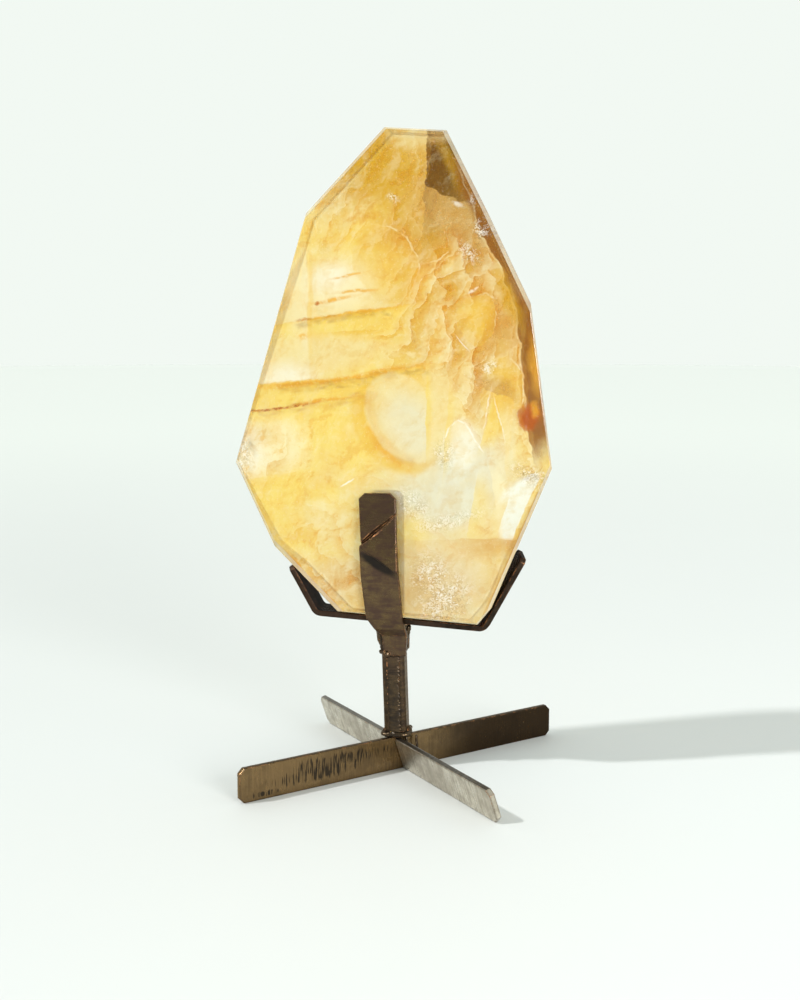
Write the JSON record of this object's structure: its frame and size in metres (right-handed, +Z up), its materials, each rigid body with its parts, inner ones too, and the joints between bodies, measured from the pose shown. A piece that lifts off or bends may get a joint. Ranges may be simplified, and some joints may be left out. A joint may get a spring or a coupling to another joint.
{
  "type": "golden healer quartz on stand",
  "caption": "Polished, faceted golden yellow quartz slab standing upright in a strap cradle between prongs, on a welded bronze-brown metal stand with crossed legs.",
  "frame": {"origin": "on the surface that the stand rests on, at the middle of the crossed legs, under the long leg bar", "axes": "+Z up; the slab's polished front face looks along -Y, and +X runs to its right as seen from the front"},
  "size_m": [0.1744, 0.1542, 0.3509],
  "materials": {
    "golden_quartz": "polished natural quartz, golden yellow iron staining, cloudy veils and clear windows",
    "leg_bronze": "brushed steel with a brown bronze patina under clear lacquer, copper coloured edges",
    "dark_bronze": "dark bronze patina under glossy clear lacquer"
  },
  "bodies": {
    "root": {"quartz": "golden_quartz", "long_leg_bar": "leg_bronze", "front_right_leg": "leg_bronze", "back_left_leg": "leg_bronze", "post": "leg_bronze", "cradle_strap": "dark_bronze", "front_prong": "dark_bronze", "back_prong": "dark_bronze"}
  },
  "joints": []
}
